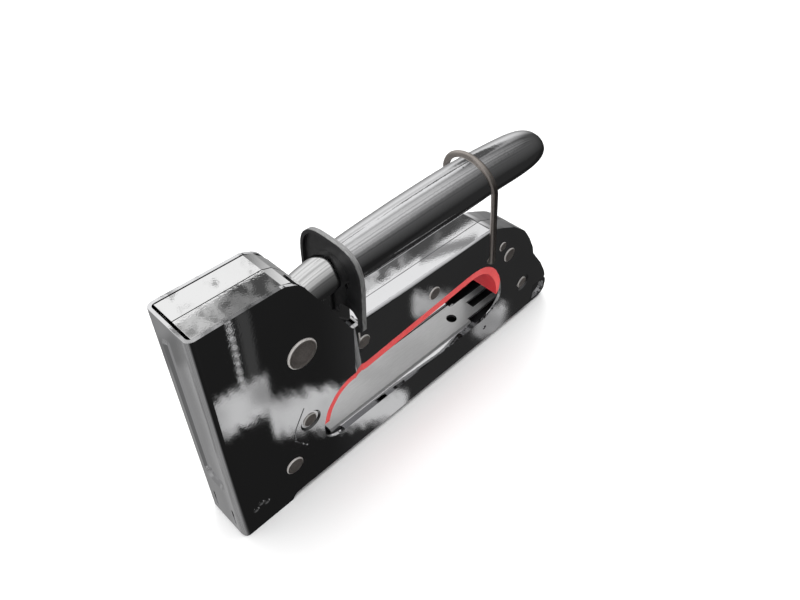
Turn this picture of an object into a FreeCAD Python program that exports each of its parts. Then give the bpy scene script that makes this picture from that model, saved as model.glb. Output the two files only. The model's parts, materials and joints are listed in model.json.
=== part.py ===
import FreeCAD, Part
import math
import os
from FreeCAD import Vector as V

# Hand staple gun ("tacker") worked by squeezing a long lever.
# Millimetres. +X runs from the nose to the rear, +Z up, the tool is symmetric
# about the XZ plane. While the pieces are drawn, X = 0 is the front face of the
# nose. On export everything shifts by X_ORIGIN, so the part's own origin is the
# centre of the nose's contact face, where the tool is pressed on the work.

os.makedirs("parts", exist_ok=True)

# ---------------------------------------------------------------- driving sizes
X_ORIGIN = 12.5          # from the front face to the centre of the nose face
HALF_W = 10.3            # half width of nose block and lower housing
HALF_BAR = 7.7           # half width of the narrowed bar above the finger opening
SHEET = 1.2              # housing sheet
CORNER_R = 2.6           # bend radius of the two vertical front corners
BLOCK_TOP = 102.0        # top of the nose block
BAR_TOP = 64.4           # top of the bar
BOTTOM = 2.6             # underside of the housing behind the nose
TAB_TOP = 13.9           # height of the rear exit of the magazine
REAR_LOW = 166.9         # where the lower side walls end
WALL_IN = HALF_W - SHEET
BAR_IN = HALF_BAR - SHEET
JOG_OUT = 55.3           # where the side wall starts to step inwards
JOG_IN = 60.3            # and where it has reached the bar's width

PIVOT = (34.0, 72.1)     # lever pivot
PIVOT_R = 3.0
LEVER_HALF = 6.5         # half width of the lever arm
LEVER_T = 1.2
LIFTER = (15.2, 64.0)    # roller that lifts the hammer
LOOP_PIVOT = (131.9, 48.9)
LOOP_WIRE_R = 1.3
LOOP_LEN = 51.3          # pivot to the centre line of the arch top
LOOP_LEAN = math.atan(0.21)
LOOP_HALF_LOW = 9.35
LOOP_HALF_TOP = 11.55

NODES = {}


def add(name, shape):
    NODES[name] = shape


# ---------------------------------------------------------------------- helpers
def face_xz(points):
    pts = [V(x, 0, z) for x, z in points]
    return Part.Face(Part.makePolygon(pts + [pts[0]]))


def prism_y(points, y0, y1):
    f = face_xz(points)
    f.translate(V(0, y0, 0))
    return f.extrude(V(0, y1 - y0, 0))


def box(x0, x1, y0, y1, z0, z1):
    return Part.makeBox(x1 - x0, y1 - y0, z1 - z0, V(x0, y0, z0))


def cyl_y(x, z, r, y0, y1):
    return Part.makeCylinder(r, y1 - y0, V(x, y0, z), V(0, 1, 0))


def both(shape):
    m = shape.mirror(V(0, 0, 0), V(0, 1, 0))
    return shape, m


def fuse(*shapes):
    s = shapes[0]
    if len(shapes) > 1:
        s = s.multiFuse(list(shapes[1:]))
    return s.removeSplitter()


def edges_where(shape, test):
    return [e for e in shape.Edges if test(e)]


def try_fillet(shape, r, test):
    es = edges_where(shape, test)
    if not es:
        return shape
    try:
        out = shape.makeFillet(r, es)
        if out.isValid() and out.Volume > 0:
            return out
    except Exception:
        pass
    return shape


def mid(e):
    return e.valueAt((e.FirstParameter + e.LastParameter) / 2)


def vertical(e):
    b = e.BoundBox
    return b.XLength < 1e-3 and b.YLength < 1e-3 and b.ZLength > 1e-2


def along_y(e):
    b = e.BoundBox
    return b.XLength < 1e-3 and b.ZLength < 1e-3 and b.YLength > 1e-2


def spline_face(points, closed=True):
    c = Part.BSplineCurve()
    c.interpolate([V(x, 0, z) for x, z in points], PeriodicFlag=closed)
    return Part.Face(Part.Wire([c.toShape()]))


def rounded_poly(points, radii):
    """Closed wire in the XZ plane: straight runs joined by tangent arcs."""
    n = len(points)
    segs = []
    cuts = []
    for i in range(n):
        p = V(points[i][0], 0, points[i][1])
        a = V(points[i - 1][0], 0, points[i - 1][1])
        b = V(points[(i + 1) % n][0], 0, points[(i + 1) % n][1])
        u = (a - p)
        w = (b - p)
        lu, lw = u.Length, w.Length
        u.normalize()
        w.normalize()
        ang = u.getAngle(w)
        r = radii[i]
        d = r / math.tan(ang / 2) if r > 0 else 0.0
        d = min(d, lu * 0.499, lw * 0.499)
        r = d * math.tan(ang / 2)
        p1 = p + u * d
        p2 = p + w * d
        bis = (u + w)
        if bis.Length > 1e-9 and r > 1e-6:
            bis.normalize()
            c = p + bis * (r / math.sin(ang / 2))
            m = c - bis * r
            cuts.append((p1, m, p2))
        else:
            cuts.append((p, None, p))
    for i in range(n):
        p1, m, p2 = cuts[i]
        q1 = cuts[(i + 1) % n][0]
        if m is not None:
            segs.append(Part.Arc(p1, m, p2).toShape())
        if (q1 - p2).Length > 1e-6:
            segs.append(Part.LineSegment(p2, q1).toShape())
    return Part.Wire(Part.__sortEdges__(segs))


def extrude_wire(wire, y0, y1):
    f = Part.Face(wire)
    f.translate(V(0, y0, 0))
    return f.extrude(V(0, y1 - y0, 0))


def frustum_y(rect_a, ya, rect_b, yb):
    """Straight-sided solid between two rectangles (x0, x1, z0, z1)."""
    def corners(r, y):
        x0, x1, z0, z1 = r
        return [V(x0, y, z0), V(x1, y, z0), V(x1, y, z1), V(x0, y, z1)]
    a, b = corners(rect_a, ya), corners(rect_b, yb)
    faces = [Part.Face(Part.makePolygon(a + [a[0]])), Part.Face(Part.makePolygon(b + [b[0]]))]
    for i in range(4):
        j = (i + 1) % 4
        faces.append(Part.Face(Part.makePolygon([a[i], a[j], b[j], b[i], a[i]])))
    s = Part.Solid(Part.Shell(faces))
    if s.Volume < 0:
        s.reverse()
    return s


def rivet(x, z, y_face, r_head, r_shank, h=0.6):
    """Through rivet with a low domed head on each side."""
    s = cyl_y(x, z, r_shank, -y_face - 0.01, y_face + 0.01)
    R = (r_head ** 2 + h ** 2) / (2 * h)
    heads = []
    for sgn in (1, -1):
        ball = Part.makeSphere(R, V(x, sgn * (y_face + h - R), z))
        slab = cyl_y(x, z, r_head, y_face, y_face + h) if sgn > 0 else cyl_y(x, z, r_head, -y_face - h, -y_face)
        heads.append(ball.common(slab))
    return fuse(s, *heads)


def coil(radius, wire_r, pitch, turns):
    """Open coil spring about +Z, standing on Z = 0."""
    h = pitch * turns
    helix = Part.makeHelix(pitch, h, radius)
    prof = Part.Wire([Part.makeCircle(wire_r, V(radius, 0, 0), V(0, 1, 0))])
    sh = Part.Wire(helix.Edges).makePipeShell([prof], True, True)
    return sh


# ------------------------------------------------------------------ the housing
# One steel sheet folded round the nose: two side walls and the front wall. The
# side walls step inwards above the finger opening and fold over to a seam along
# the top of the bar.
outline = [
    (1.0, 0.0), (21.6, 0.0), (23.7, BOTTOM), (REAR_LOW, BOTTOM), (REAR_LOW, TAB_TOP),
    (176.6, TAB_TOP), (175.1, 18.0), (170.0, 26.3), (164.8, 34.0), (164.8, 37.1),
    (160.7, 44.3), (155.5, 51.5), (147.3, 57.7), (139.0, 61.8), (132.9, BAR_TOP),
    (60.0, BAR_TOP), (54.6, 68.0), (36.5, 99.4), (31.0, BLOCK_TOP), (0.0, BLOCK_TOP), (0.0, 1.0)]
out_r = [0.5, 1.0, 1.5, 1.0, 0.0, 0.8, 8.0, 20.0, 1.5, 4.0, 14.0, 16.0, 18.0, 12.0, 8.0,
         3.0, 4.0, 8.0, 4.5, 0.3, 0.5]
outer = extrude_wire(rounded_poly(outline, out_r), -HALF_W, HALF_W)
front_block = box(0.0, 200.0, -HALF_W, HALF_W, -2.0, 104.0)
front_block = front_block.makeFillet(CORNER_R, edges_where(front_block, lambda e: vertical(e) and mid(e).x < 0.01))
outer = outer.common(front_block)

recess_top = []
for sgn in (1, -1):
    r = frustum_y((JOG_IN, 230, 37.6, 230), sgn * HALF_BAR, (JOG_OUT, 230, 26.3, 230), sgn * (HALF_W + 0.001))
    recess_top.append(r)
    recess_top.append(box(JOG_OUT, 230, min(sgn * HALF_W, sgn * 14), max(sgn * HALF_W, sgn * 14), 26.3, 230))
envelope = outer.cut(fuse(recess_top[0], recess_top[1])).cut(fuse(recess_top[2], recess_top[3]))

inner_line = [
    (SHEET, -5), (REAR_LOW, -5), (REAR_LOW, 15.1), (174.7, 15.1), (173.9, 17.5), (168.9, 25.7),
    (163.5, 33.8), (163.5, 36.7), (159.6, 43.5), (154.6, 50.5), (146.7, 56.5), (138.5, 60.6),
    (132.6, BAR_TOP - SHEET), (59.2, BAR_TOP - SHEET), (59.2, 120), (SHEET, 120)]
in_r = [0, 0, 0, 0.6, 6, 18, 1.2, 3, 12.8, 14.8, 16.8, 10.8, 6.8, 0, 0, 0]
cavity = extrude_wire(rounded_poly(inner_line, in_r), -WALL_IN, WALL_IN)
inner_block = box(SHEET, 200.0, -WALL_IN, WALL_IN, -8.0, 124.0)
inner_block = inner_block.makeFillet(CORNER_R - SHEET, edges_where(inner_block, lambda e: vertical(e) and abs(mid(e).x - SHEET) < 0.01))
cavity = cavity.common(inner_block)
shift_cut = []
for sgn in (1, -1):
    r = frustum_y((JOG_IN - 0.55, 230, 37.6 - 0.5, 230), sgn * BAR_IN, (JOG_OUT - 0.55, 230, 26.3 - 0.5, 230), sgn * (WALL_IN + 0.001))
    shift_cut.append(r)
    shift_cut.append(box(JOG_OUT - 0.55, 230, min(sgn * WALL_IN, sgn * 14), max(sgn * WALL_IN, sgn * 14), 25.8, 230))
cavity = cavity.cut(fuse(shift_cut[0], shift_cut[1])).cut(fuse(shift_cut[2], shift_cut[3]))


# shallow channel pressed into the front wall
def front_channel(x0, x1, grow0, grow1):
    def wire(x, g):
        hw, z0, z1 = 5.2 + g, 25.0 - g, 94.5 + g
        r = 4.4
        pts = [V(x, -hw, z0 + r), V(x, -hw, z1 - r), V(x, -hw + r, z1), V(x, hw - r, z1),
               V(x, hw, z1 - r), V(x, hw, z0 + r), V(x, hw - r, z0), V(x, -hw + r, z0)]
        k = r * (1 - math.sqrt(0.5))
        mids = [V(x, -hw + k, z1 - k), V(x, hw - k, z1 - k), V(x, hw - k, z0 + k), V(x, -hw + k, z0 + k)]
        e = [Part.LineSegment(pts[0], pts[1]).toShape(), Part.Arc(pts[1], mids[0], pts[2]).toShape(),
             Part.LineSegment(pts[2], pts[3]).toShape(), Part.Arc(pts[3], mids[1], pts[4]).toShape(),
             Part.LineSegment(pts[4], pts[5]).toShape(), Part.Arc(pts[5], mids[2], pts[6]).toShape(),
             Part.LineSegment(pts[6], pts[7]).toShape(), Part.Arc(pts[7], mids[3], pts[0]).toShape()]
        return Part.Wire(e)
    return Part.makeLoft([wire(x0, grow0), wire(x1, grow1)], True, True)


channel_cut = front_channel(-0.6, 0.9, 0.9, -0.3)
channel_fill = front_channel(0.6, 2.1, 0.9, -0.3)
cavity = cavity.cut(channel_fill)

# finger opening, a long rounded slot through both side walls
opening_pts = [(46.5, 17.5), (131.0, 17.5), (135.2, 18.9), (138.8, 22.3), (140.6, 26.4), (141.1, 30.8), (140.6, 35.3),
               (138.6, 39.4), (135.2, 43.2), (131.0, 46.1), (126.4, 47.6), (121.0, 47.9), (61.6, 42.5), (57.0, 44.8), (51.5, 44.7), (46.0, 41.9),
               (41.4, 35.8), (39.5, 29.0), (39.6, 22.6), (42.2, 19.0)]
opening_r = [3.5, 13.0, 9.5, 10.4, 13.9, 18.7, 12.2, 15.0, 17.6, 14.4, 16.0, 25.0, 6.0, 5.0, 9.0, 12.0, 12.0, 9.0, 6.0, 5.0]
opening_wire = rounded_poly(opening_pts, opening_r)
opening = extrude_wire(opening_wire, -20, 20)

shell = envelope.cut(cavity).cut(channel_cut).cut(opening)

# lower edge of the opening folded inwards as a narrow flange
for sgn in (1, -1):
    y0, y1 = (7.4, HALF_W - 0.4) if sgn > 0 else (-HALF_W + 0.4, -7.4)
    fl = box(48.5, 125.7, y0, y1, 16.3, 17.5)
    fl = try_fillet(fl, 0.5, lambda e: e.BoundBox.XLength > 10)
    shell = shell.fuse(fl)
# seam along the top of the bar and down the rear
seam = box(58.0, 190.0, -0.15, 0.15, 15.2, 70.0)
shell = shell.cut(seam)

# pressed dishes round the two frame pins, three nose dimples and a pin hole
FRAME_PINS = [(34.0, 37.6), (157.1, 22.1)]
for x, z in FRAME_PINS:
    for sgn in (1, -1):
        cone = Part.makeCone(3.6, 4.4, 0.62, V(x, sgn * (HALF_W - 0.6), z), V(0, sgn, 0))
        shell = shell.cut(cone)
for x, z in ((6.7, 11.8), (9.1, 13.5), (11.3, 11.8)):
    for sgn in (1, -1):
        shell = shell.cut(Part.makeSphere(1.6, V(x, sgn * (HALF_W + 0.95), z)))
shell = shell.cut(cyl_y(131.8, 11.3, 1.1, -20, 20))
# stamped outline beside the front pin
groove_pts = [(31.9, 46.4), (27.8, 39.1), (26.8, 36.0), (26.8, 32.4), (29.9, 27.8), (31.4, 25.8)]
for a, b in zip(groove_pts[:-1], groove_pts[1:]):
    dx, dz = b[0] - a[0], b[1] - a[1]
    ln = math.hypot(dx, dz)
    for sgn in (1, -1):
        g = Part.makeCylinder(0.32, ln, V(a[0], sgn * (HALF_W + 0.08), a[1]), V(dx, 0, dz))
        shell = shell.cut(g)
# slots for the nose plate's tabs in the front wall
for y in (4.8, -6.0):
    shell = shell.cut(box(-1, 0.5, y - 0.45, y + 0.45, 5.2, 14.2))

# rivet holes
BAR_RIVETS = [(61.8, 54.1), (98.6, 52.7)]
SMALL_RIVET = (140.6, 51.2)
REAR_RIVET = (146.5, 43.3)
NOSE_RIVET = (24.9, 19.6)
for x, z, r in [(PIVOT[0], PIVOT[1], PIVOT_R + 0.05), (NOSE_RIVET[0], NOSE_RIVET[1], 2.25)] + \
        [(x, z, 1.65) for x, z in BAR_RIVETS] + [(SMALL_RIVET[0], SMALL_RIVET[1], 1.25), (REAR_RIVET[0], REAR_RIVET[1], 1.95)] + \
        [(x, z, 1.65) for x, z in FRAME_PINS]:
    shell = shell.cut(cyl_y(x, z, r, -20, 20))
shell = shell.cut(cyl_y(LOOP_PIVOT[0], LOOP_PIVOT[1], LOOP_WIRE_R + 0.06, -20, 20))
for sgn in (-1, 1):                       # seat pressed in the step for the front bar rivet
    ya, yb = sorted((sgn * HALF_BAR, sgn * (HALF_W + 0.5)))
    shell = shell.cut(cyl_y(BAR_RIVETS[0][0], BAR_RIVETS[0][1], 2.88, ya, yb))
add("housing_shell", shell)

# -------------------------------------------------------- inner frame of the nose
FR_OUT = WALL_IN - 0.25
FR_T = 1.2
for name, sgn in (("inner_frame_left", 1), ("inner_frame_right", -1)):
    side_pts = [(2.5, 4.0), (21.0, 4.0), (21.0, 15.4), (37.5, 15.4), (37.5, 26.0), (33.0, 44.0), (46.0, 62.0),
                (46.0, 70.0), (34.5, 92.0), (31.5, 100.9), (2.2, 100.9), (2.2, 60.0)]
    y0, y1 = sorted((sgn * (FR_OUT - FR_T), sgn * FR_OUT))
    side = prism_y(side_pts, y0, y1)
    top_pts = [(2.2, 100.5), (30.8, 100.5), (33.5, 99.6), (35.6, 97.6), (38.2, 94.6), (39.1, 95.4),
               (36.5, 98.5), (34.2, 100.7), (31.0, 101.8), (2.2, 101.8)]
    y0, y1 = sorted((sgn * 0.14, sgn * FR_OUT))
    top = prism_y(top_pts, y0, y1)
    fr = fuse(side, top)
    for x, z, r in ((PIVOT[0], PIVOT[1], PIVOT_R + 0.05), (NOSE_RIVET[0], NOSE_RIVET[1], 2.25), (34.0, 37.6, 1.65)):
        fr = fr.cut(cyl_y(x, z, r, -20, 20))
    add(name, fr)

# ------------------------------------------------------------------- grip liner
# the liner follows the front arc, the top and the rear of the opening
inner_edge = rounded_poly(
    [(41.4, 28.0), (43.4, 34.6), (47.4, 39.9), (52.2, 42.4), (56.4, 42.2), (61.2, 38.9), (121.0, 44.3), (125.8, 44.3),
     (129.6, 43.0), (133.1, 40.5), (135.9, 37.3), (137.5, 33.9), (137.9, 30.6), (137.2, 27.0), (135.0, 23.0),
     (131.0, 18.5), (100, 19.5), (60.0, 19.5), (41.4, 19.5)],
    [3.0, 12, 12, 9, 5, 6, 25, 14, 11, 11, 12, 12, 12, 9, 6, 1, 0, 0, 1])
inner_hole = extrude_wire(inner_edge, -20, 20)
opening_shrunk = opening
ring = opening.cut(inner_hole)
ring = ring.common(envelope)
# keep only the part that lines front arc, top and rear
keep = prism_y([(38.0, 29.5), (60, 29.5), (60, 35.0), (125.0, 35.0), (128.0, 27.8), (137.9, 27.8), (139.4, 29.2),
                (140.4, 31.4), (141.0, 33.4), (150.0, 33.4), (150, 60), (38, 60)], -20, 20)
ring = ring.common(keep)
outer_edge = rounded_poly(
    [(41.0, 17.5), (131.0, 15.5), (136.4, 17.2), (140.4, 21.0), (142.6, 26.0), (143.1, 30.8), (142.5, 36.0), (140.3, 40.5),
     (136.5, 44.8), (131.8, 48.0), (126.8, 49.6), (121.0, 50.0), (61.8, 44.6), (57.4, 46.9), (51.0, 46.8), (44.6, 43.5),
     (39.5, 36.8), (37.4, 29.2), (37.6, 20.0)],
    [0, 8, 9, 10, 13, 18, 12, 15, 17, 14, 16, 25, 6, 5, 9, 12, 12, 9, 3])
flange = extrude_wire(outer_edge, -20, 20).cut(opening).common(keep.fuse(prism_y([(36, 29.5), (60, 29.5), (60, 60), (36, 60)], -20, 20)))
slim_cavity = extrude_wire(rounded_poly(inner_line, in_r), -WALL_IN + 0.1, WALL_IN - 0.1)
slim = []
for sgn in (1, -1):
    r = frustum_y((JOG_IN - 0.65, 230, 37.0, 230), sgn * (BAR_IN - 0.1), (JOG_OUT - 0.65, 230, 25.7, 230), sgn * (WALL_IN - 0.099))
    slim.append(r)
    slim.append(box(JOG_OUT - 0.65, 230, min(sgn * (WALL_IN - 0.1), sgn * 14), max(sgn * (WALL_IN - 0.1), sgn * 14), 25.7, 230))
slim_cavity = slim_cavity.cut(fuse(slim[0], slim[1])).cut(fuse(slim[2], slim[3]))
flange = flange.common(slim_cavity)
liner = fuse(ring, flange)
liner = liner.cut(fuse(*[cyl_y(x, z, 3.4, -7.4, 7.4) for x, z in [(34.0, 37.6)]]))
liner = liner.cut(cyl_y(LOOP_PIVOT[0], LOOP_PIVOT[1], LOOP_WIRE_R + 0.5, -20, 20))   # clear of the loop's feet
if len(liner.Solids) > 1:
    liner = sorted(liner.Solids, key=lambda s: -s.Volume)[0]
add("grip_liner", liner)

# --------------------------------------------------------------------- magazine
MAG_HALF = 7.2
mag = box(5.3, 165.5, -MAG_HALF, MAG_HALF, 3.2, 14.4).cut(box(0, 180, -MAG_HALF + 1.0, MAG_HALF - 1.0, 0, 13.4))
mag = mag.cut(cyl_y(131.8, 11.3, 1.05, -20, 20))
add("magazine_channel", mag)

cover_pts_y = [(-7.2, 14.9), (-7.2, 16.7), (-6.4, 17.5), (6.4, 17.5), (7.2, 16.7), (7.2, 14.9), (6.2, 14.9), (6.2, 16.3), (-6.2, 16.3), (-6.2, 14.9)]
pw = [V(44.5, y, z) for y, z in cover_pts_y]
cover = Part.Face(Part.makePolygon(pw + [pw[0]])).extrude(V(132.9 - 44.5, 0, 0))
cover = cover.cut(box(125.7, 140, 5.0, 9, 14, 18)).cut(box(125.7, 140, -9, -5.0, 14, 18))
for sgn in (1, -1):
    y0, y1 = sorted((sgn * 2.0, sgn * 4.9))
    cover = cover.fuse(box(132.0, 150.0, y0, y1, 16.3, 17.5))
cover = cover.cut(Part.makeCylinder(2.3, 5, V(120.7, 0, 14)))
cover = cover.removeSplitter()
add("magazine_cover", cover)

# inner rail that draws out to the rear, with its finger tab
rail = box(6.0, 166.2, -4.6, 4.6, 4.2, 11.8).cut(box(0, 180, -3.7, 3.7, 0, 10.9))
rail = rail.cut(box(9.0, 150.0, -1.3, 1.3, 10, 13))
add("staple_rail", rail)

tab_out = rounded_poly([(167.3, 0.0), (176.5, 0.0), (180.6, 3.0), (180.6, 9.0), (177.4, 13.3), (167.3, 13.5)], [1.0, 4.5, 3.0, 4.0, 3.0, 0.5])
tab = extrude_wire(tab_out, -9.4, 9.4)
tab = try_fillet(tab, 1.2, lambda e: abs(abs(mid(e).y) - 9.4) < 1e-3 and mid(e).x > 169)
tab_in = rounded_poly([(170.0, 2.4), (175.6, 2.4), (178.2, 4.2), (178.2, 8.4), (176.2, 11.0), (170.0, 11.2)], [1.0, 3, 2, 2.5, 2, 1.0])
for sgn in (1, -1):
    y0, y1 = sorted((sgn * 8.2, sgn * 10.0))
    tab = tab.cut(extrude_wire(tab_in, y0, y1))
tab = tab.fuse(box(166.2, 167.4, -4.6, 4.6, 4.2, 11.8)).removeSplitter()
ROD_Z = 7.4
tab = tab.cut(Part.makeCylinder(1.0, 3.0, V(166.0, 0, ROD_Z), V(1, 0, 0)))
add("pull_tab", tab)

rod = Part.makeCylinder(1.0, 169.0 - 8.0, V(8.0, 0, ROD_Z), V(1, 0, 0))
rod = rod.fuse(Part.makeCylinder(1.8, 1.2, V(6.8, 0, ROD_Z), V(1, 0, 0))).removeSplitter()
add("pusher_rod", rod)

# staple pusher astride the rail
push = box(9.6, 29.0, -5.7, 5.7, 5.4, 13.0).cut(box(0, 40, -5.0, 5.0, 0, 12.1))
push = push.fuse(box(26.0, 28.0, -0.9, 0.9, 5.4, 12.3)).fuse(box(26.0, 28.0, -3.0, 3.0, 5.0, 10.3))
push = push.cut(Part.makeCylinder(1.25, 60, V(0, 0, ROD_Z), V(1, 0, 0))).removeSplitter()
add("pusher", push)

sp = coil(2.0, 0.35, 6.0, 22)
sp.rotate(V(0, 0, 0), V(0, 1, 0), 90)
sp.translate(V(28.9, 0, ROD_Z))
add("pusher_spring", sp)

# ------------------------------------------------------- driver and main spring
blade = box(2.6, 3.8, -5.6, 5.6, 2.0, 62.0)
blade = blade.cut(box(2, 5, -2.2, 2.2, 46.0, 58.0))
add("driver_blade", blade)

hammer = box(4.0, 17.5, -5.0, 5.0, 55.0, 71.5)
hammer = hammer.cut(box(11.2, 20, -6, 6, 60.0, LIFTER[1] + 3.0 + 0.3))
hammer = try_fillet(hammer, 1.2, lambda e: vertical(e) and mid(e).x > 16)
hammer = hammer.fuse(box(2.6, 4.2, -2.1, 2.1, 46.1, 57.9)).removeSplitter()
hammer = hammer.cut(box(2.5, 4.0, -6, 6, 44.0, 46.0))
add("hammer", hammer)

SPR_X = 11.2
msp = coil(5.0, 1.0, 3.7, 6)
msp.translate(V(SPR_X, 0, 72.6))
add("main_spring", msp)

cap = Part.makeCylinder(6.4, 2.2, V(SPR_X, 0, 96.0)).fuse(Part.makeCylinder(3.6, 6.0, V(SPR_X, 0, 90.2)))
cap = cap.fuse(Part.makeCylinder(2.4, 2.4, V(SPR_X, 0, 98.0))).removeSplitter()
add("spring_cap", cap)

bump = box(4.4, 17.5, -6.0, 6.0, 46.5, 54.6)
bump = bump.cut(box(4.0, 4.5, -2.3, 2.3, 45.0, 58.0))
bump = try_fillet(bump, 1.5, lambda e: vertical(e) and mid(e).x > 16)
add("bumper", bump)
anvil = box(4.4, 31.0, -7.4, 7.4, 44.5, 46.5)
anvil = try_fillet(anvil, 1.5, lambda e: vertical(e) and mid(e).x > 30)
add("bumper_plate", anvil)

guide = box(4.1, 5.1, -7.5, 7.5, 3.2, 44.2)
guide = guide.cut(box(4, 6, -4.9, 4.9, 2.0, 13.2))
add("blade_guide", guide)

nose = box(1.4, 21.0, -8.6, 8.6, 0.0, 2.9)
nose = try_fillet(nose, 1.2, lambda e: vertical(e) and mid(e).x < 2)
nose = nose.cut(box(2.4, 4.4, -5.9, 5.9, -1, 5))
add("nose_plate", nose)

# ----------------------------------------------------------- lever and its pins
axis_pts = [  # x, z of the axis, outer radius of the hand grip
    (57.5, 86.11, 7.75), (64.0, 86.31, 8.07), (72.0, 86.63, 8.39), (82.0, 87.08, 8.63), (94.0, 87.6, 8.81), (106.0, 87.97, 8.96),
    (118.0, 88.2, 9.0), (130.0, 88.25, 8.8), (140.0, 87.94, 8.68), (148.0, 87.61, 8.46), (154.0, 87.3, 7.98), (158.5, 86.85, 7.15),
    (162.0, 86.1, 5.85), (164.6, 85.1, 4.3), (166.6, 84.15, 2.95), (168.2, 83.3, 1.95), (169.4, 82.62, 1.25), (170.3, 82.1, 0.7)]


def lever_loft(pts, dr, x_lo=None, x_hi=None):
    wires = []
    for x, z, r in pts:
        if r - dr < 0.6:
            continue
        wires.append(Part.Wire([Part.makeCircle(r - dr, V(x, 0, z), V(1, 0, 0))]))
    return Part.makeLoft(wires, True, False)


grip = lever_loft(axis_pts, 0.0)
bore_pts = [(55.0, 86.03, 7.63)] + axis_pts
bore = lever_loft(bore_pts, LEVER_T)
grip = grip.cut(bore)
slot_wire = rounded_poly([(66.0, 60.0), (152.0, 60.0), (152.0, 84.0), (66.0, 84.0)], [0, 0, 3, 3])
grip = grip.cut(extrude_wire(slot_wire, -3.2, 3.2))
add("lever_grip", grip)

# pressed arm: two cheeks joined over the top behind the pivot
ARM_Z = 85.5             # axis of the half-round hood where it meets the guard
HOOD_R = 7.55
hood_pts = [(38.5, 82.6, 6.9), (44.2, 84.2, 7.2), (48.0, 84.85, 7.38), (51.0, 85.25, 7.48), (53.5, ARM_Z, HOOD_R)]
cheek = [(LIFTER[0] - 4.6, LIFTER[1] - 2.0), (LIFTER[0] + 2.0, LIFTER[1] - 4.8), (29.0, 64.4), (38.0, 63.4), (44.5, 67.5),
         (49.5, 70.5), (52.4, 67.9), (57.2, 67.9), (57.2, 87.6), (50.4, 87.2), (44.2, 86.0), (38.5, 84.0), (33.0, 82.0),
         (24.5, 78.5), (LIFTER[0] - 3.0, LIFTER[1] + 4.2)]
cheek_r = [3.2, 4.0, 3, 8, 6, 4, 4, 1.0, 0, 8, 8, 8, 8, 8, 4.0]
cheeks = extrude_wire(rounded_poly(cheek, cheek_r), -LEVER_HALF, LEVER_HALF)
cheeks = cheeks.cut(box(0, 90, -LEVER_HALF + LEVER_T, LEVER_HALF - LEVER_T, 50, 120))


def hood_loft(dr):
    wires = [Part.Wire([Part.makeCircle(r - dr, V(x, 0, z), V(1, 0, 0))]) for x, z, r in hood_pts]
    return fuse(Part.makeLoft(wires, True, False), Part.makeCylinder(HOOD_R - dr, 57.2 - 53.5, V(53.5, 0, ARM_Z), V(1, 0, 0)))


below = prism_y([(30, 50), (90, 50), (90, ARM_Z), (53.5, ARM_Z), (51.0, 85.25), (48.0, 84.85), (44.2, 84.2), (38.5, 82.6), (30, 80.2)], -12, 12)
arm = fuse(cheeks, hood_loft(0.0).cut(hood_loft(LEVER_T)).cut(below))
# half-round tongue reaching into the hand grip, spot welded to its roof
tongue_pts = [(56.0, 86.1, 7.7), (64.0, 86.31, 8.07), (72.0, 86.63, 8.39), (78.0, 86.9, 8.53)]
tongue = lever_loft(tongue_pts, LEVER_T + 0.05).cut(lever_loft(tongue_pts, 2 * LEVER_T + 0.05))
tongue = tongue.cut(box(50, 90, -10, 10, 50, 86.0))
arm = arm.fuse(tongue)
arm = arm.cut(cyl_y(PIVOT[0], PIVOT[1], PIVOT_R + 0.05, -20, 20))
arm = arm.cut(cyl_y(LIFTER[0], LIFTER[1], 1.5, -20, 20))
arm = arm.removeSplitter()
add("lever_arm", arm)

lpin = cyl_y(LIFTER[0], LIFTER[1], 1.5, -LEVER_HALF - 0.5, LEVER_HALF + 0.5)
add("lifter_pin", lpin)
roller = cyl_y(LIFTER[0], LIFTER[1], 3.0, -5.2, 5.2).cut(cyl_y(LIFTER[0], LIFTER[1], 1.5, -9, 9))
add("lifter_sleeve", roller)

# hand guard: arched plate with a forward rim, standing astride the bar
GX0, GX1 = 55.3, 57.2


def arch(hw, top, r, bottom, n=3.1):
    pts = [V(0, -hw, bottom)]
    N = 18
    for i in range(N + 1):
        t = math.pi / 2 * i / N
        pts.append(V(0, -hw * math.cos(t) ** (2 / n), (top - r) + r * math.sin(t) ** (2 / n)))
    left = pts
    right = [V(0, -p.y, p.z) for p in reversed(left)][0:]
    c1 = Part.BSplineCurve()
    c1.interpolate(left[1:] + right[1:-1])
    e = [Part.LineSegment(left[0], left[1]).toShape(), c1.toShape(), Part.LineSegment(right[-2], right[-1]).toShape(),
         Part.LineSegment(right[-1], left[0]).toShape()]
    return Part.Face(Part.Wire(e))


g_out = arch(14.5, 99.0, 15.5, 67.8)
g_out.translate(V(GX0, 0, 0))
guard = g_out.extrude(V(GX1 - GX0, 0, 0))
g_in = arch(13.3, 97.8, 14.3, 60.0)
g_in.translate(V(GX0 - 1, 0, 0))
guard = guard.cut(g_in.extrude(V(GX1 - GX0 - 0.8 + 1, 0, 0)))
hole = Part.makeCylinder(HOOD_R + 0.01, 20, V(50, 0, ARM_Z), V(1, 0, 0))
guard = guard.cut(hole)
cut_w = [(-LEVER_HALF - 0.01, ARM_Z), (-LEVER_HALF - 0.01, 74.0), (-9.0, 73.5), (-11.1, 71.5), (-11.1, 50),
         (11.1, 50), (11.1, 71.5), (9.0, 73.5), (LEVER_HALF + 0.01, 74.0), (LEVER_HALF + 0.01, ARM_Z)]
cw = [V(50, y, z) for y, z in cut_w]
guard = guard.cut(Part.Face(Part.makePolygon(cw + [cw[0]])).extrude(V(20, 0, 0)))
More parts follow.
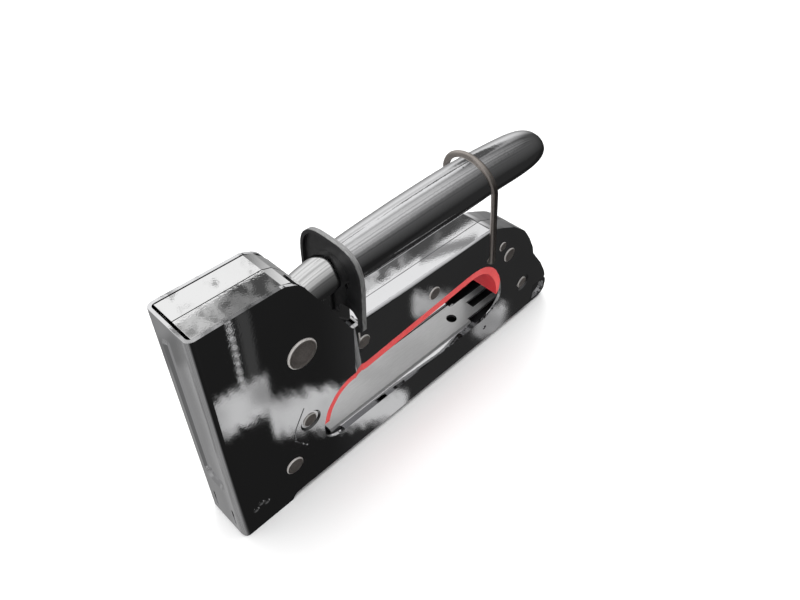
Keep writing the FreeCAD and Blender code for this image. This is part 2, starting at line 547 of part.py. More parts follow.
for sgn in (-1, 1):                       # rounded feet of the two legs
    for y_edge, into, r in ((14.5, -1, 1.7), (11.1, 1, 1.2)):
        yc, zc = y_edge + into * r, 67.8 + r
        ya, yb = sorted((sgn * (y_edge - into * 0.2), sgn * yc))
        chip = box(GX0 - 1, GX1 + 1, ya, yb, 67.0, zc)
        chip = chip.cut(Part.makeCylinder(r, GX1 - GX0 + 4, V(GX0 - 2, sgn * yc, zc), V(1, 0, 0)))
        guard = guard.cut(chip)
guard = guard.removeSplitter()
add("hand_guard", guard)

# ---------------------------------------------------------- pivots and fasteners
piv = rivet(PIVOT[0], PIVOT[1], HALF_W, 5.7, PIVOT_R, 0.8)
add("lever_pivot", piv)
for name, sgn in (("pivot_washers", 1),):
    a = cyl_y(PIVOT[0], PIVOT[1], 5.0, LEVER_HALF + 0.2, FR_OUT - FR_T - 0.05).cut(cyl_y(PIVOT[0], PIVOT[1], PIVOT_R + 0.05, 0, 20))
    b = a.mirror(V(0, 0, 0), V(0, 1, 0))
    add(name, Part.makeCompound([a, b]))
bush = cyl_y(PIVOT[0], PIVOT[1], 4.6, -LEVER_HALF + LEVER_T + 0.1, LEVER_HALF - LEVER_T - 0.1).cut(cyl_y(PIVOT[0], PIVOT[1], PIVOT_R + 0.02, -20, 20))
add("pivot_bush", bush)

add("bar_rivets", Part.makeCompound([rivet(x, z, HALF_BAR, 2.85, 1.6, 0.5) for x, z in BAR_RIVETS]))
add("small_rivet", rivet(SMALL_RIVET[0], SMALL_RIVET[1], HALF_BAR, 2.1, 1.2, 0.4))
add("rear_rivet", rivet(REAR_RIVET[0], REAR_RIVET[1], HALF_BAR, 3.3, 1.9, 0.5))
add("nose_rivet", rivet(NOSE_RIVET[0], NOSE_RIVET[1], HALF_W, 3.6, 2.2, 0.6))
add("frame_pins", Part.makeCompound([rivet(x, z, HALF_W - 0.6, 2.8, 1.6, 0.7) for x, z in FRAME_PINS]))

spacers = []
for x, z, r, y in [(61.8, 54.1, 1.65, BAR_IN), (98.6, 52.7, 1.65, BAR_IN), (146.5, 43.3, 1.95, BAR_IN), (157.1, 22.1, 1.65, WALL_IN)]:
    spacers.append(cyl_y(x, z, r + 1.3, -y + 0.02, y - 0.02).cut(cyl_y(x, z, r, -20, 20)))
spacers.append(cyl_y(24.9, 19.6, 3.5, -FR_OUT + FR_T + 0.02, FR_OUT - FR_T - 0.02).cut(cyl_y(24.9, 19.6, 2.25, -20, 20)))
add("frame_spacers", Part.makeCompound(spacers))

# -------------------------------------------------------------------- lock loop
def loop_point(v, y):
    return V(LOOP_PIVOT[0] - v * math.sin(LOOP_LEAN), y, LOOP_PIVOT[1] + v * math.cos(LOOP_LEAN))


R_ARC = LOOP_HALF_TOP
v_arc = LOOP_LEN - R_ARC
edges = []
b = 1.6                              # bend radius at the foot of each leg
y_in = 5.2
for sgn in (-1, 1):
    pass
leg_dy = (LOOP_HALF_TOP - LOOP_HALF_LOW) / v_arc
ang = math.atan(leg_dy)
# foot: straight stub through the wall, a bend, the leg, then half a circle
def foot(sgn):
    p0 = loop_point(0, sgn * y_in)
    # bend between the +-y direction and the leg direction
    corner = (0.0, LOOP_HALF_LOW)
    turn = math.pi / 2 - ang
    t = b * math.tan(turn / 2)
    a1 = (0.0, LOOP_HALF_LOW - t)
    a2 = (t * math.cos(ang), LOOP_HALF_LOW + t * math.sin(ang))
    # arc centre
    c = (b, LOOP_HALF_LOW - t)
    mdir = (corner[0] - c[0], corner[1] - c[1])
    ml = math.hypot(*mdir)
    m = (c[0] + mdir[0] / ml * b, c[1] + mdir[1] / ml * b)
    P = lambda q: loop_point(q[0], sgn * q[1])
    return p0, P(a1), P(m), P(a2)


tan_v = v_arc + R_ARC * math.sin(ang) * -1
tan_y = R_ARC * math.cos(ang)
# straight leg ends where it is tangent to the arch circle centred at (v_arc, 0)
# the leg line passes (0, LOOP_HALF_LOW) and leans outwards by ang
d_line = (v_arc * math.sin(ang) + LOOP_HALF_LOW * math.cos(ang))
R_ARC = d_line
top_c = (v_arc, 0.0)
tp = (v_arc - R_ARC * math.sin(ang), R_ARC * math.cos(ang))
p0, a1, m, a2 = foot(-1)
q0, b1, n, b2 = foot(1)
T1 = loop_point(tp[0], -tp[1])
T2 = loop_point(tp[0], tp[1])
TM = loop_point(v_arc + R_ARC, 0)
edges = [Part.LineSegment(p0, a1).toShape(), Part.Arc(a1, m, a2).toShape(), Part.LineSegment(a2, T1).toShape(),
         Part.Arc(T1, TM, T2).toShape(), Part.LineSegment(T2, b2).toShape(), Part.Arc(b2, n, b1).toShape(),
         Part.LineSegment(b1, q0).toShape()]
path = Part.Wire(edges)
prof = Part.Wire([Part.makeCircle(LOOP_WIRE_R, p0, V(0, 1, 0))])
loop = path.makePipeShell([prof], True, False)
add("lock_loop", loop)

# ----------------------------------------------------------------------- export
total = 0.0
for name in sorted(NODES):
    s = NODES[name]
    sols = s.Solids
    if not sols:
        raise SystemExit("no solid in " + name)
    s = sols[0] if len(sols) == 1 else Part.makeCompound(sols)
    s = s.copy()
    s.translate(V(-X_ORIGIN, 0, 0))
    ok = s.isValid()
    bb = s.optimalBoundingBox(True, False)
    print("%-20s solids %d valid %s vol %9.1f  x %.1f..%.1f y %.1f..%.1f z %.1f..%.1f" % (
        name, len(sols), ok, s.Volume, bb.XMin, bb.XMax, bb.YMin, bb.YMax, bb.ZMin, bb.ZMax))
    s.exportStep("parts/" + name + ".step")
    total += s.Volume
print("nodes", len(NODES), "steel volume cm3", total / 1000.0)
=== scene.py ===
import bpy
import bmesh
import json
import math
import numpy as np
from mathutils import Matrix, Vector


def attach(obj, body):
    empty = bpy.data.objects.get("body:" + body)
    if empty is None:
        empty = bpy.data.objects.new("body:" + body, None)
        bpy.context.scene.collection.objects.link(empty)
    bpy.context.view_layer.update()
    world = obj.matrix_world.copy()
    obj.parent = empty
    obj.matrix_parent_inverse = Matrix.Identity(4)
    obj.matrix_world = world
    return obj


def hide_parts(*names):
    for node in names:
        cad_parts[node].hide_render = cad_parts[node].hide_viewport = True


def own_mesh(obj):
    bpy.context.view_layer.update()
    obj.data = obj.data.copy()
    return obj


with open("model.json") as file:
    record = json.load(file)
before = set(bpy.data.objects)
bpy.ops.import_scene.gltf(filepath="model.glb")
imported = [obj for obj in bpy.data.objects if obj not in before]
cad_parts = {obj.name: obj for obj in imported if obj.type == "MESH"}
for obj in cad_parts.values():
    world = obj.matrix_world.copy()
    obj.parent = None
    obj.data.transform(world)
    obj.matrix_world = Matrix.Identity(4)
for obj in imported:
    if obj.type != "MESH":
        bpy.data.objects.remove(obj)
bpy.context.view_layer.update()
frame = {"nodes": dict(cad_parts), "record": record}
NODES = frame["nodes"]
MM = 0.001
X0 = 0.0125            # the front face stands this far ahead of the frame's origin


def P(x, y, z):
    """millimetres measured from the front face, to frame metres"""
    return Vector((x * MM - X0, y * MM, z * MM))


# ------------------------------------------------------------------ node helpers
class Tree:
    def __init__(self, nt):
        self.nt = nt
        nt.nodes.clear()

    def new(self, kind, **props):
        n = self.nt.nodes.new(kind)
        for k, v in props.items():
            setattr(n, k, v)
        return n

    def put(self, sock, value):
        if hasattr(value, "is_linked") or hasattr(value, "node"):
            self.nt.links.new(value, sock)
        else:
            sock.default_value = value

    def math(self, op, a, b=None, c=None, clamp=False):
        n = self.new("ShaderNodeMath", operation=op, use_clamp=clamp)
        self.put(n.inputs[0], a)
        if b is not None:
            self.put(n.inputs[1], b)
        if c is not None:
            self.put(n.inputs[2], c)
        return n.outputs[0]

    def add(self, a, b):
        return self.math("ADD", a, b)

    def mul(self, a, b):
        return self.math("MULTIPLY", a, b)

    def step(self, x, lo, hi, out_lo=0.0, out_hi=1.0):
        n = self.new("ShaderNodeMapRange", interpolation_type="SMOOTHSTEP")
        self.put(n.inputs["Value"], x)
        self.put(n.inputs["From Min"], lo)
        self.put(n.inputs["From Max"], hi)
        self.put(n.inputs["To Min"], out_lo)
        self.put(n.inputs["To Max"], out_hi)
        return n.outputs["Result"]

    def ramp(self, x, stops, interp="LINEAR"):
        n = self.new("ShaderNodeValToRGB")
        n.color_ramp.interpolation = interp
        el = n.color_ramp.elements
        while len(el) > len(stops):
            el.remove(el[-1])
        while len(el) < len(stops):
            el.new(1.0)
        for e, (pos, col) in zip(el, stops):
            e.position = pos
            e.color = (col, col, col, 1.0) if not hasattr(col, "__len__") else (*col, 1.0)
        self.put(n.inputs["Fac"], x)
        return n.outputs["Color"]

    def noise(self, vec, scale, detail=2.0, rough=0.5, distortion=0.0):
        n = self.new("ShaderNodeTexNoise")
        self.put(n.inputs["Vector"], vec)
        n.inputs["Scale"].default_value = scale
        n.inputs["Detail"].default_value = detail
        n.inputs["Roughness"].default_value = rough
        n.inputs["Distortion"].default_value = distortion
        return n.outputs["Fac"]

    def stretch(self, vec, sx, sy, sz):
        n = self.new("ShaderNodeMapping")
        self.put(n.inputs["Vector"], vec)
        n.inputs["Scale"].default_value = (sx, sy, sz)
        return n.outputs["Vector"]

    def mix(self, fac, a, b):
        n = self.new("ShaderNodeMix", data_type="RGBA")
        self.put(n.inputs[0], fac)
        for sock, v in ((n.inputs[6], a), (n.inputs[7], b)):
            if isinstance(v, tuple) and len(v) == 3:
                v = (*v, 1.0)
            self.put(sock, v)
        return n.outputs[2]

    def bump(self, height, strength, distance, normal=None):
        n = self.new("ShaderNodeBump")
        self.put(n.inputs["Height"], height)
        n.inputs["Strength"].default_value = strength
        n.inputs["Distance"].default_value = distance
        if normal is not None:
            self.put(n.inputs["Normal"], normal)
        return n.outputs["Normal"]


def material(name):
    m = bpy.data.materials.new(name)
    m.use_nodes = True
    t = Tree(m.node_tree)
    out = t.new("ShaderNodeOutputMaterial")
    b = t.new("ShaderNodeBsdfPrincipled")
    t.nt.links.new(b.outputs["BSDF"], out.inputs["Surface"])
    tc = t.new("ShaderNodeTexCoord")
    return m, t, b, tc.outputs["Object"]


def link_bsdf(t, b, base=None, rough=None, normal=None):
    if base is not None:
        t.put(b.inputs["Base Color"], base)
    if rough is not None:
        t.put(b.inputs["Roughness"], rough)
    if normal is not None:
        t.put(b.inputs["Normal"], normal)


# ------------------------------------------------------------------- materials
def chrome(name, base, rough_lo, rough_hi, wave=0.0, wave_scale=30.0, smudge=14.0, tint=0.06, scratch=0.0, axis=(1, 1, 1)):
    """Polished plating: nearly a mirror, with faint wiping marks, pin-fine scratches and a little waviness of the sheet."""
    m, t, b, obj = material(name)
    b.inputs["Metallic"].default_value = 1.0
    big = t.noise(obj, smudge, 4.0, 0.55, 0.6)
    fine = t.noise(t.stretch(obj, *axis), 900.0, 3.0, 0.6)
    wipe = t.step(big, 0.38, 0.72)
    mask = t.math("MULTIPLY_ADD", fine, 0.35, t.mul(wipe, 0.65))
    rough = t.step(mask, 0.15, 0.85, rough_lo, rough_hi)
    dark = tuple(c * (1.0 - tint) for c in base)
    col = t.mix(t.step(mask, 0.2, 0.9), base, dark)
    # specks: dust-fine pits in the plating
    pits = t.noise(obj, 2600.0, 1.0, 0.5)
    pit = t.step(pits, 0.74, 0.80)
    col = t.mix(t.mul(pit, 0.35), col, tuple(c * 0.55 for c in base))
    normal = None
    if wave:
        w = t.noise(obj, wave_scale, 1.0, 0.4)
        normal = t.bump(w, 0.6, wave)
    micro = t.noise(t.stretch(obj, *axis), 1500.0, 2.0, 0.5)
    normal = t.bump(micro, 0.12, 0.00002 + scratch, normal)
    link_bsdf(t, b, col, rough, normal)
    return m


def steel(name, base, rough, grain=(1, 12, 12), grain_scale=260.0, var=0.18, bump=0.00003, rough_var=0.1, metal=1.0):
    """Bare or zinc-plated sheet: drawn grain along one axis, soft blotches and a satin gloss."""
    m, t, b, obj = material(name)
    b.inputs["Metallic"].default_value = metal
    g = t.noise(t.stretch(obj, *grain), grain_scale, 4.0, 0.65)
    blotch = t.noise(obj, 55.0, 3.0, 0.5, 0.8)
    mask = t.math("MULTIPLY_ADD", g, 0.6, t.mul(blotch, 0.4))
    dark = tuple(c * (1.0 - var) for c in base)
    lite = tuple(min(1.0, c * (1.0 + var * 0.6)) for c in base)
    col = t.mix(t.step(mask, 0.3, 0.7), dark, lite)
    r = t.step(blotch, 0.25, 0.75, rough - rough_var, rough + rough_var)
    r = t.math("MULTIPLY_ADD", g, 0.08, r)
    link_bsdf(t, b, col, r, t.bump(g, 0.5, bump))
    return m


MAT = {}
MAT["shell_chrome"] = chrome("shell_chrome", (0.80, 0.80, 0.81), 0.014, 0.042, wave=0.00006, wave_scale=28.0)
MAT["frame_chrome"] = chrome("frame_chrome", (0.88, 0.88, 0.88), 0.014, 0.04, wave=0.00005, wave_scale=60.0)
MAT["lever_chrome"] = chrome("lever_chrome", (0.78, 0.78, 0.79), 0.05, 0.11, wave=0.00004, wave_scale=20.0, axis=(1, 6, 6))
MAT["arm_chrome"] = chrome("arm_chrome", (0.80, 0.80, 0.80), 0.06, 0.14, wave=0.00003, wave_scale=40.0, axis=(1, 6, 6))
MAT["tab_chrome"] = chrome("tab_chrome", (0.60, 0.60, 0.61), 0.07, 0.16, wave=0.00006, wave_scale=60.0)
MAT["magazine_steel"] = steel("magazine_steel", (0.55, 0.55, 0.56), 0.28)
# near-black steel for the magazine channel: painted shade, so the gaps that show it read dark
MAT["shaded_channel_steel"] = steel("shaded_channel_steel", (0.085, 0.085, 0.09), 0.42, var=0.2)
MAT["cover_steel"] = steel("cover_steel", (0.74, 0.74, 0.74), 0.44, var=0.10)
MAT["dark_steel"] = steel("dark_steel", (0.22, 0.22, 0.23), 0.34, var=0.25)
MAT["spring_steel"] = steel("spring_steel", (0.34, 0.33, 0.32), 0.30, grain=(6, 6, 6))
MAT["wire_steel"] = steel("wire_steel", (0.50, 0.455, 0.42), 0.32, grain=(5, 5, 2), grain_scale=420.0, var=0.22)
# rivet_edge is a lighter, half-metallic copy of rivet_steel for the head rims: a painted highlight ring
MAT["rivet_edge"] = steel("rivet_edge", (0.74, 0.71, 0.68), 0.36, grain=(5, 5, 5), grain_scale=500.0, var=0.12, metal=0.35)
MAT["rivet_steel"] = steel("rivet_steel", (0.50, 0.455, 0.43), 0.36, grain=(5, 5, 5), grain_scale=500.0, var=0.30, metal=0.90)


def rubber():
    m, t, b, obj = material("bumper_rubber")
    n = t.noise(obj, 420.0, 4.0, 0.6)
    bl = t.noise(obj, 60.0, 2.0, 0.5)
    col = t.mix(t.step(bl, 0.3, 0.7), (0.025, 0.025, 0.027), (0.05, 0.05, 0.052))
    link_bsdf(t, b, col, t.step(n, 0.2, 0.8, 0.62, 0.85), t.bump(n, 0.5, 0.00008))
    return m


def liner():
    """Moulded red plastic; the outer rim is painted a lighter red and the wall inside the opening a darker red:
    painted light and shade on one colour.
    """
    m, t, b, obj = material("liner_red")
    tc = t.new("ShaderNodeTexCoord")
    ns = t.new("ShaderNodeSeparateXYZ")
    t.put(ns.inputs[0], tc.outputs["Normal"])
    # faces turned along y take the lit red, the rest take the shaded red: painted light and shade
    rim = t.step(t.math("ABSOLUTE", ns.outputs[1]), 0.35, 0.80)
    n = t.noise(obj, 700.0, 3.0, 0.55)
    bl = t.noise(obj, 70.0, 3.0, 0.5, 0.4)
    shaded_red = t.mix(t.step(bl, 0.3, 0.7), (0.56, 0.022, 0.034), (0.64, 0.036, 0.046))
    lite = t.mix(t.step(bl, 0.3, 0.7), (0.90, 0.080, 0.082), (0.95, 0.112, 0.110))
    col = t.mix(rim, shaded_red, lite)
    link_bsdf(t, b, col, t.step(n, 0.2, 0.8, 0.36, 0.5), t.bump(n, 0.35, 0.00004))
    b.inputs["Subsurface Weight"].default_value = 0.10
    b.inputs["Subsurface Radius"].default_value = (0.002, 0.0006, 0.0005)
    b.inputs["Subsurface Scale"].default_value = 1.0
    return m


def guard():
    """Black lacquered plate; the outer edge of its rim is bare brushed steel."""
    m, t, b, obj = material("guard_dark")
    tc = t.new("ShaderNodeTexCoord")
    ns = t.new("ShaderNodeSeparateXYZ")
    t.put(ns.inputs[0], tc.outputs["Normal"])
    ps = t.new("ShaderNodeSeparateXYZ")
    t.put(ps.inputs[0], obj)
    nx, ny, nz = ns.outputs
    px, py, pz = ps.outputs
    outward = t.add(t.mul(ny, py), t.mul(nz, t.add(pz, -0.0800)))
    n = t.noise(obj, 500.0, 3.0, 0.6)
    rim = t.mul(t.step(t.math("ABSOLUTE", nx), 0.55, 0.80, 1.0, 0.0), t.step(outward, 0.0030, 0.0060))
    rim = t.mul(rim, t.step(t.add(px, t.mul(n, 0.0006)), 0.0431, 0.0435))
    bl = t.noise(obj, 90.0, 3.0, 0.5, 0.5)
    grain = t.noise(t.stretch(obj, 12, 1, 1), 420.0, 3.0, 0.6)
    black = t.mix(t.step(bl, 0.3, 0.7), (0.010, 0.010, 0.011), (0.022, 0.022, 0.023))
    grey = t.mix(t.step(grain, 0.3, 0.7), (0.22, 0.22, 0.22), (0.40, 0.40, 0.40))
    link_bsdf(t, b, t.mix(rim, black, grey), t.step(n, 0.2, 0.8, 0.32, 0.46), t.bump(n, 0.4, 0.00005))
    t.put(b.inputs["Metallic"], t.mul(rim, 0.6))
    return m


MAT["bumper_rubber"] = rubber()
MAT["liner_red"] = liner()
MAT["guard_dark"] = guard()

record_slots = {s["node"]: s.get("material_slot") for s in frame["record"].get("subparts", [])}
for name, ob in NODES.items():
    # the magazine channel takes the near-black painted-shade steel in place of its record slot
    slot = "shaded_channel_steel" if name == "magazine_channel" else record_slots.get(name) or "magazine_steel"
    mat = MAT[slot]
    ob.data.materials.clear()
    ob.data.materials.append(mat)

# the plating mirrors the room only, not these two pieces
NODES["grip_liner"].visible_glossy = False
NODES["lock_loop"].visible_glossy = False

# soft edges on the folded and machined pieces
for name, width in (("housing_shell", 0.30), ("inner_frame_left", 0.18), ("inner_frame_right", 0.18), ("grip_liner", 0.45),
                    ("magazine_channel", 0.15), ("magazine_cover", 0.15), ("nose_plate", 0.2), ("pull_tab", 0.2),
                    ("hand_guard", 0.14), ("lever_arm", 0.2), ("staple_rail", 0.12), ("hammer", 0.25), ("driver_blade", 0.08)):
    ob = NODES[name]
    w = ob.modifiers.new("weld", "WELD")
    w.merge_threshold = 1e-6
    b = ob.modifiers.new("soft_edges", "BEVEL")
    b.width = width * MM
    b.segments = 3
    b.limit_method = "ANGLE"
    b.angle_limit = math.radians(40)
    b.use_clamp_overlap = True
    b.harden_normals = False

# ------------------------------------------------------------------ rivet heads
def lathe_y(bm, cx, cz, profile, edge_r, n=72):
    """closed profile of (radius, y) turned about the line through (cx, cz) along y; ends on the axis"""
    rings = []
    for r, y in profile:
        if r < 1e-6:
            rings.append([bm.verts.new(P(cx, y, cz))])
        else:
            rings.append([bm.verts.new(P(cx + r * math.cos(2 * math.pi * k / n), y, cz + r * math.sin(2 * math.pi * k / n))) for k in range(n)])
    for i, (a, b) in enumerate(zip(rings[:-1], rings[1:])):
        # faces at the outer edge of the head take slot 1, the painted highlight ring
        rim_highlight = 1 if min(profile[i][0], profile[i + 1][0]) >= edge_r - 1e-6 else 0
        for k in range(n):
            k2 = (k + 1) % n
            if len(a) == 1:
                bm.faces.new((a[0], b[k2], b[k])).material_index = rim_highlight
            elif len(b) == 1:
                bm.faces.new((a[k], a[k2], b[0])).material_index = rim_highlight
            else:
                bm.faces.new((a[k], a[k2], b[k2], b[k])).material_index = rim_highlight


def rivets(name, node, centres, y_face, r_head, r_shank, h, body="frame"):
    """turned head with a raised ring round a shallow dish and a low dome, on both ends of one shank"""
    R = r_head
    half = [(0.0, h), (0.28 * R, 0.97 * h), (0.50 * R, 0.84 * h), (0.66 * R, 0.62 * h), (0.74 * R, 0.42 * h), (0.77 * R, 0.34 * h),
            (0.80 * R, 0.36 * h), (0.84 * R, 0.56 * h), (0.88 * R, 0.68 * h), (0.92 * R, 0.66 * h), (0.96 * R, 0.48 * h), (0.995 * R, 0.20 * h),
            (0.995 * R, 0.0), (r_shank, 0.0)]
    right_half = [(r, -(y_face + y)) for r, y in half]
    left_half = [(r, y_face + y) for r, y in reversed(half)]
    bm = bmesh.new()
    for cx, cz in centres:
        lathe_y(bm, cx, cz, right_half + left_half, 0.92 * R)
    bmesh.ops.recalc_face_normals(bm, faces=bm.faces)
    me = bpy.data.meshes.new(name)
    bm.to_mesh(me)
    bm.free()
    for p in me.polygons:
        p.use_smooth = True
    ob = bpy.data.objects.new(name, me)
    bpy.context.scene.collection.objects.link(ob)
    me.materials.append(MAT["rivet_steel"])
    # second slot: the painted highlight ring on the head rims
    me.materials.append(MAT["rivet_edge"])
    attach(ob, body)
    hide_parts(node)
    return ob


rivets("pivot_head", "lever_pivot", [(34.0, 72.1)], 10.3, 5.7, 3.0, 0.8)
rivets("bar_heads", "bar_rivets", [(61.8, 54.1), (98.6, 52.7)], 7.7, 2.85, 1.6, 0.5)
rivets("small_head", "small_rivet", [(140.6, 51.2)], 7.7, 2.1, 1.2, 0.4)
rivets("rear_head", "rear_rivet", [(146.5, 43.3)], 7.7, 3.3, 1.9, 0.5)
rivets("nose_head", "nose_rivet", [(24.9, 19.6)], 10.3, 3.6, 2.2, 0.6)
rivets("pin_heads", "frame_pins", [(34.0, 37.6), (157.1, 22.1)], 9.7, 2.8, 1.6, 0.7)

# ----------------------------------------------------------------------- springs
def spring(name, node, body, radius, wire, pitch, turns, start, along_x):
    """open coil of round wire, fixed to one body"""
    bm = bmesh.new()
    steps, sides = int(turns * 40), 12
    slope = pitch / (2 * math.pi)

    def turned(v):
        return Vector((v[2], v[1], -v[0])) if along_x else Vector(v)

    rings = []
    for i in range(steps + 1):
        a = 2 * math.pi * turns * i / steps
        centre = turned((radius * math.cos(a), radius * math.sin(a), slope * a)) + Vector(start)
        tangent = turned((-radius * math.sin(a), radius * math.cos(a), slope)).normalized()
        out = turned((math.cos(a), math.sin(a), 0.0))
        side_v = tangent.cross(out)
        ring = []
        for k in range(sides):
            b = 2 * math.pi * k / sides
            q = centre + (out * math.cos(b) + side_v * math.sin(b)) * wire
            ring.append(bm.verts.new(P(q.x, q.y, q.z)))
        rings.append(ring)
    for ra, rb in zip(rings[:-1], rings[1:]):
        for k in range(sides):
            k2 = (k + 1) % sides
            bm.faces.new((ra[k], ra[k2], rb[k2], rb[k]))
    bm.faces.new(list(reversed(rings[0])))
    bm.faces.new(rings[-1])
    bmesh.ops.recalc_face_normals(bm, faces=bm.faces)
    me = bpy.data.meshes.new(name)
    bm.to_mesh(me)
    bm.free()
    for p in me.polygons:
        p.use_smooth = len(p.vertices) == 4
    ob = bpy.data.objects.new(name, me)
    bpy.context.scene.collection.objects.link(ob)
    me.materials.append(MAT["spring_steel"])
    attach(ob, body)
    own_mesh(ob)
    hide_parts(node)
    return ob


spring("drive_spring", "main_spring", "frame", 5.0, 0.98, 3.7, 6, (11.2, 0.0, 72.6), False)
spring("feed_spring", "pusher_spring", "magazine_slide", 2.0, 0.34, 6.0, 22, (28.9, 0.0, 7.4), True)

# ------------------------------------------------------------------------ stage
bpy.ops.mesh.primitive_plane_add(size=1)
floor = bpy.context.object
floor.name = "floor"
floor.scale = (6, 6, 1)
floor.location = (0, 0, -0.0002)
fm, t, b, obj = material("floor_paper")
fn = t.noise(obj, 40.0, 3.0, 0.5)
link_bsdf(t, b, t.mix(fn, (0.90, 0.90, 0.90), (0.92, 0.92, 0.92)), 0.9)
b.inputs["Specular IOR Level"].default_value = 0.1
floor.data.materials.append(fm)
floor.visible_glossy = False

world = bpy.data.worlds.new("studio")
bpy.context.scene.world = world
world.use_nodes = True
t = Tree(world.node_tree)
wout = t.new("ShaderNodeOutputWorld")
bg = t.new("ShaderNodeBackground")
t.nt.links.new(bg.outputs[0], wout.inputs[0])
direction = t.new("ShaderNodeTexCoord").outputs["Generated"]
sep = t.new("ShaderNodeSeparateXYZ")
t.put(sep.inputs[0], direction)
dx, dy, dz = sep.outputs
el = t.mul(t.math("ARCSINE", dz), 180 / math.pi)
az = t.mul(t.math("ARCTAN2", dy, dx), 180 / math.pi)
u = t.math("MULTIPLY_ADD", el, 1 / 180.0, 0.5)            # 0 straight down, 1 straight up


def at(deg):
    return deg / 180.0 + 0.5


back = t.ramp(u, [(at(-90), 0.32), (at(-50), 0.34), (at(-18), 0.30), (at(-4), 0.42), (at(8), 0.75), (at(24), 1.0), (at(90), 1.0)])
front = t.ramp(u, [(at(-90), 0.010), (at(-20), 0.016), (at(-6), 0.045), (at(18), 0.09), (at(30), 0.14), (at(42), 0.34), (at(56), 0.70), (at(90), 0.95)])
# how much a direction looks to the camera's side of the room: 1 there, 0 behind the tool
side = t.add(t.mul(dx, math.cos(math.radians(-58))), t.mul(dy, math.sin(math.radians(-58))))
fac = t.step(side, -0.12, 0.30)
base = t.mix(fac, back, front)


def blob(a0, e0, half_a, half_e, soft, tilt=0.0):
    """soft-edged rectangular card in the sky: centre azimuth and elevation, half sizes in degrees"""
    da = t.math("ABSOLUTE", t.add(az, -a0))
    if tilt:
        ee = t.math("MULTIPLY_ADD", t.add(az, -a0), -tilt, el)
    else:
        ee = el
    de = t.math("ABSOLUTE", t.add(ee, -e0))
    ia = t.step(da, half_a - soft, half_a + soft, 1.0, 0.0)
    ie = t.step(de, half_e - soft, half_e + soft, 1.0, 0.0)
    return t.mul(ia, ie)


def noise1(w, scale, detail=2.0, rough=0.5):
    n = t.new("ShaderNodeTexNoise", noise_dimensions="1D")
    t.put(n.inputs["W"], w)
    n.inputs["Scale"].default_value = scale
    n.inputs["Detail"].default_value = detail
    n.inputs["Roughness"].default_value = rough
    return n.outputs["Fac"]


def over(base, mask, value):
    return t.mix(mask, base, (value, value, value))


# roll: angle about the long axis of the tool, so a strip at one roll runs along the lever as a streak
roll = t.mul(t.math("ARCTAN2", dz, dy), 180 / math.pi)
streak = t.step(noise1(roll, 0.075, 3.0, 0.5), 0.34, 0.66, 0.55, 1.0)
sky = t.step(el, 14, 30)
streaky = t.math("MULTIPLY_ADD", t.add(streak, -1.0), sky, 1.0)
mul_n = t.new("ShaderNodeVectorMath", operation="SCALE")
t.put(mul_n.inputs[0], base)
t.put(mul_n.inputs["Scale"], streaky)
base = mul_n.outputs[0]

# floor on the near side, a little lighter towards the rear of the tool
low = t.mul(t.mul(t.step(az, -54, -47), t.step(az, -25, -15, 1.0, 0.0)), t.step(el, -16, -8, 1.0, 0.0))
base = over(base, low, 0.026)
# dark beam running down through the back of the room
base = over(base, blob(34, 29.5, 13, 5.5, 3.0, tilt=-0.95), 0.10)
# ceiling panels seen in the flat tops
base = over(base, t.mul(t.step(az, 30, 36), t.mul(t.step(el, 33, 36), t.step(el, 47, 50, 1.0, 0.0))), 0.95)
slope = t.math("MULTIPLY_ADD", t.add(az, -61.0), -0.253, el)
fleck = t.step(t.noise(direction, 60.0, 3.0, 0.6), 0.40, 0.58)
patch = t.mul(t.mul(t.step(slope, 41.35, 41.5), t.step(slope, 44.2, 45.0, 1.0, 0.0)), t.mul(t.step(az, 54.0, 55.0), t.step(az, 70.0, 72.0, 1.0, 0.0)))
tone = t.mix(t.step(az, 62.5, 66.5), t.mix(fleck, (0.07, 0.07, 0.07), (0.24, 0.24, 0.24)), t.mix(fleck, (0.30, 0.30, 0.30), (0.62, 0.62, 0.62)))
base = t.mix(patch, base, tone)
wisp = t.step(t.noise(direction, 34.0, 3.0, 0.6), 0.36, 0.50)
strip = t.mul(t.mul(t.step(roll, 46.4, 46.8), t.step(roll, 51.9, 52.25, 1.0, 0.0)), t.mul(t.step(az, 30.0, 32.0), t.step(az, 49.5, 50.5, 1.0, 0.0)))
near_end = t.step(az, 42.8, 44.4)
base = t.mix(strip, base, t.mix(near_end, t.mix(wisp, (0.17, 0.17, 0.17), (0.08, 0.08, 0.08)), t.mix(wisp, (0.62, 0.62, 0.62), (0.13, 0.13, 0.13))))
base = over(base, t.mul(blob(38.5, 39.6, 3.0, 0.5, 0.2, tilt=0.30), 0.8), 0.14)
cloud = t.mul(t.mul(t.step(slope, 40.9, 41.2, 1.0, 0.0), t.step(slope, 38.0, 38.6)), t.mul(t.step(az, 56.0, 57.0), t.step(az, 70.0, 72.0, 1.0, 0.0)))
cloud = t.mul(cloud, t.step(t.noise(direction, 46.0, 3.0, 0.55), 0.56, 0.66))
base = over(base, cloud, 0.34)
base = over(base, blob(150, 25, 30, 28, 8), 0.26)

# a low pale hedge of light in the near side wall, with a dotted upright at its left end
rag = t.noise(direction, 95.0, 4.0, 0.65)
coarse = t.noise(direction, 12.0, 2.0, 0.5)
jag = t.math("MULTIPLY_ADD", t.add(rag, -0.5), 2.2, el)


def hedge(a0, e0, half_a, half_e, tilt):
    da = t.math("ABSOLUTE", t.add(az, -a0))
    de = t.math("ABSOLUTE", t.add(t.math("MULTIPLY_ADD", t.add(az, -a0), -tilt, jag), -e0))
    return t.mul(t.step(da, half_a - 0.4, half_a + 0.4, 1.0, 0.0), t.step(de, half_e - 0.5, half_e + 0.5, 1.0, 0.0))


def join(a, b):
    return t.math("MAXIMUM", a, b)


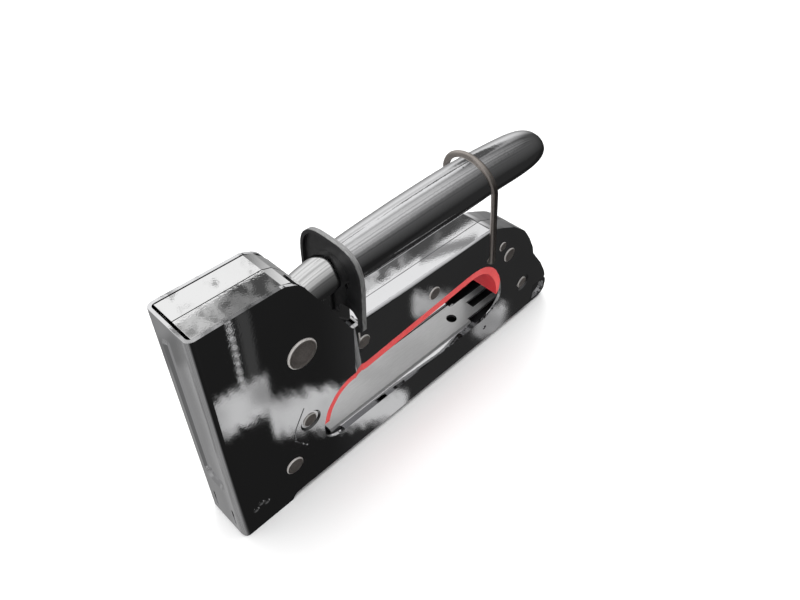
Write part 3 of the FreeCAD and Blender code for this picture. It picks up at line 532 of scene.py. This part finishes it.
band = join(join(hedge(-64.4, -51.6, 3.7, 1.5, 0.16), hedge(-58.5, -53.0, 2.8, 1.5, 0.0)), join(hedge(-53, -53.0, 3.2, 1.7, 0.0), hedge(-46.5, -53.2, 4.2, 1.2, 0.05)))
band = join(band, t.mul(hedge(-39.7, -44.4, 2.3, 0.9, 0.1), 0.9))
band = join(band, t.mul(hedge(-32.8, -45.2, 1.7, 1.3, 0.2), 0.9))
dots = t.math("MULTIPLY_ADD", t.math("SINE", t.mul(el, 9.0)), 0.5, 0.5)
post = t.mul(blob(-63.9, -46.9, 0.32, 3.3, 0.14), t.step(dots, 0.25, 0.6, 0.30, 1.0))
veil = t.mul(blob(-62.2, -47.2, 0.8, 3.4, 0.4), 0.16)
hedge_tone = t.mix(t.step(coarse, 0.35, 0.65), (0.30, 0.30, 0.30), (0.62, 0.62, 0.62))
level = t.mix(band, base, hedge_tone)
level = t.mix(veil, level, (0.25, 0.25, 0.25))
level = t.mix(post, level, (0.48, 0.48, 0.48))
# shading of the far ground mirrored in the front wall
level = over(level, t.mul(blob(112, -45.6, 16, 1.3, 0.6), 0.6), 0.16)
stripe = t.step(noise1(az, 0.22, 2.0, 0.5), 0.35, 0.65, 0.55, 1.15)
gate = t.mul(t.step(t.math("ABSOLUTE", az), 95, 104), t.step(el, -30, -20, 1.0, 0.0))
shade = t.new("ShaderNodeVectorMath", operation="SCALE")
t.put(shade.inputs[0], level)
t.put(shade.inputs["Scale"], t.math("MULTIPLY_ADD", t.add(stripe, -1.0), gate, 1.0))
level = shade.outputs[0]
# the plain paper background, seen directly
lp = t.new("ShaderNodeLightPath")
level = t.mix(lp.outputs["Is Camera Ray"], level, (0.97, 0.97, 0.97))
bg.inputs["Strength"].default_value = 1.0
t.put(bg.inputs["Color"], level)

# ---------------------------------------------------------------------- lights
def area(name, loc, target, size, power, glossy=True):
    ld = bpy.data.lights.new(name, "AREA")
    ld.shape = "RECTANGLE"
    ld.size, ld.size_y = size
    ld.energy = power
    lo = bpy.data.objects.new(name, ld)
    bpy.context.scene.collection.objects.link(lo)
    lo.location = loc
    lo.rotation_mode = "QUATERNION"
    lo.rotation_quaternion = (Vector(target) - Vector(loc)).to_track_quat("-Z", "Y")
    lo.visible_glossy = glossy
    return lo


area("top_softbox", (0.05, 0.1, 1.4), (0.07, 0, 0), (1.8, 1.8), 30.0, glossy=False)
area("back_softbox", (0.75, 0.75, 0.75), (0.07, 0, 0.04), (0.7, 0.5), 3.0, glossy=False)

# ---------------------------------------------------------------------- camera
cam = bpy.data.cameras.new("camera")
cam.sensor_width = 36.0
cam.lens = 30.2946
cam.clip_start = 0.005
cam.clip_end = 50.0
cam_ob = bpy.data.objects.new("camera", cam)
bpy.context.scene.collection.objects.link(cam_ob)
right = Vector((0.70021274, -0.71377931, 0.01487355))
up = Vector((0.48982589, 0.49546382, 0.71734664))
back_v = Vector((-0.51939649, -0.49500980, 0.69655766))
rot = Matrix((right, up, back_v)).transposed()
cam_ob.matrix_world = Matrix.Translation(Vector((-0.05672055, -0.12579316, 0.22823599))) @ rot.to_4x4()
bpy.context.scene.camera = cam_ob
bpy.context.scene.view_settings.view_transform = "Standard"
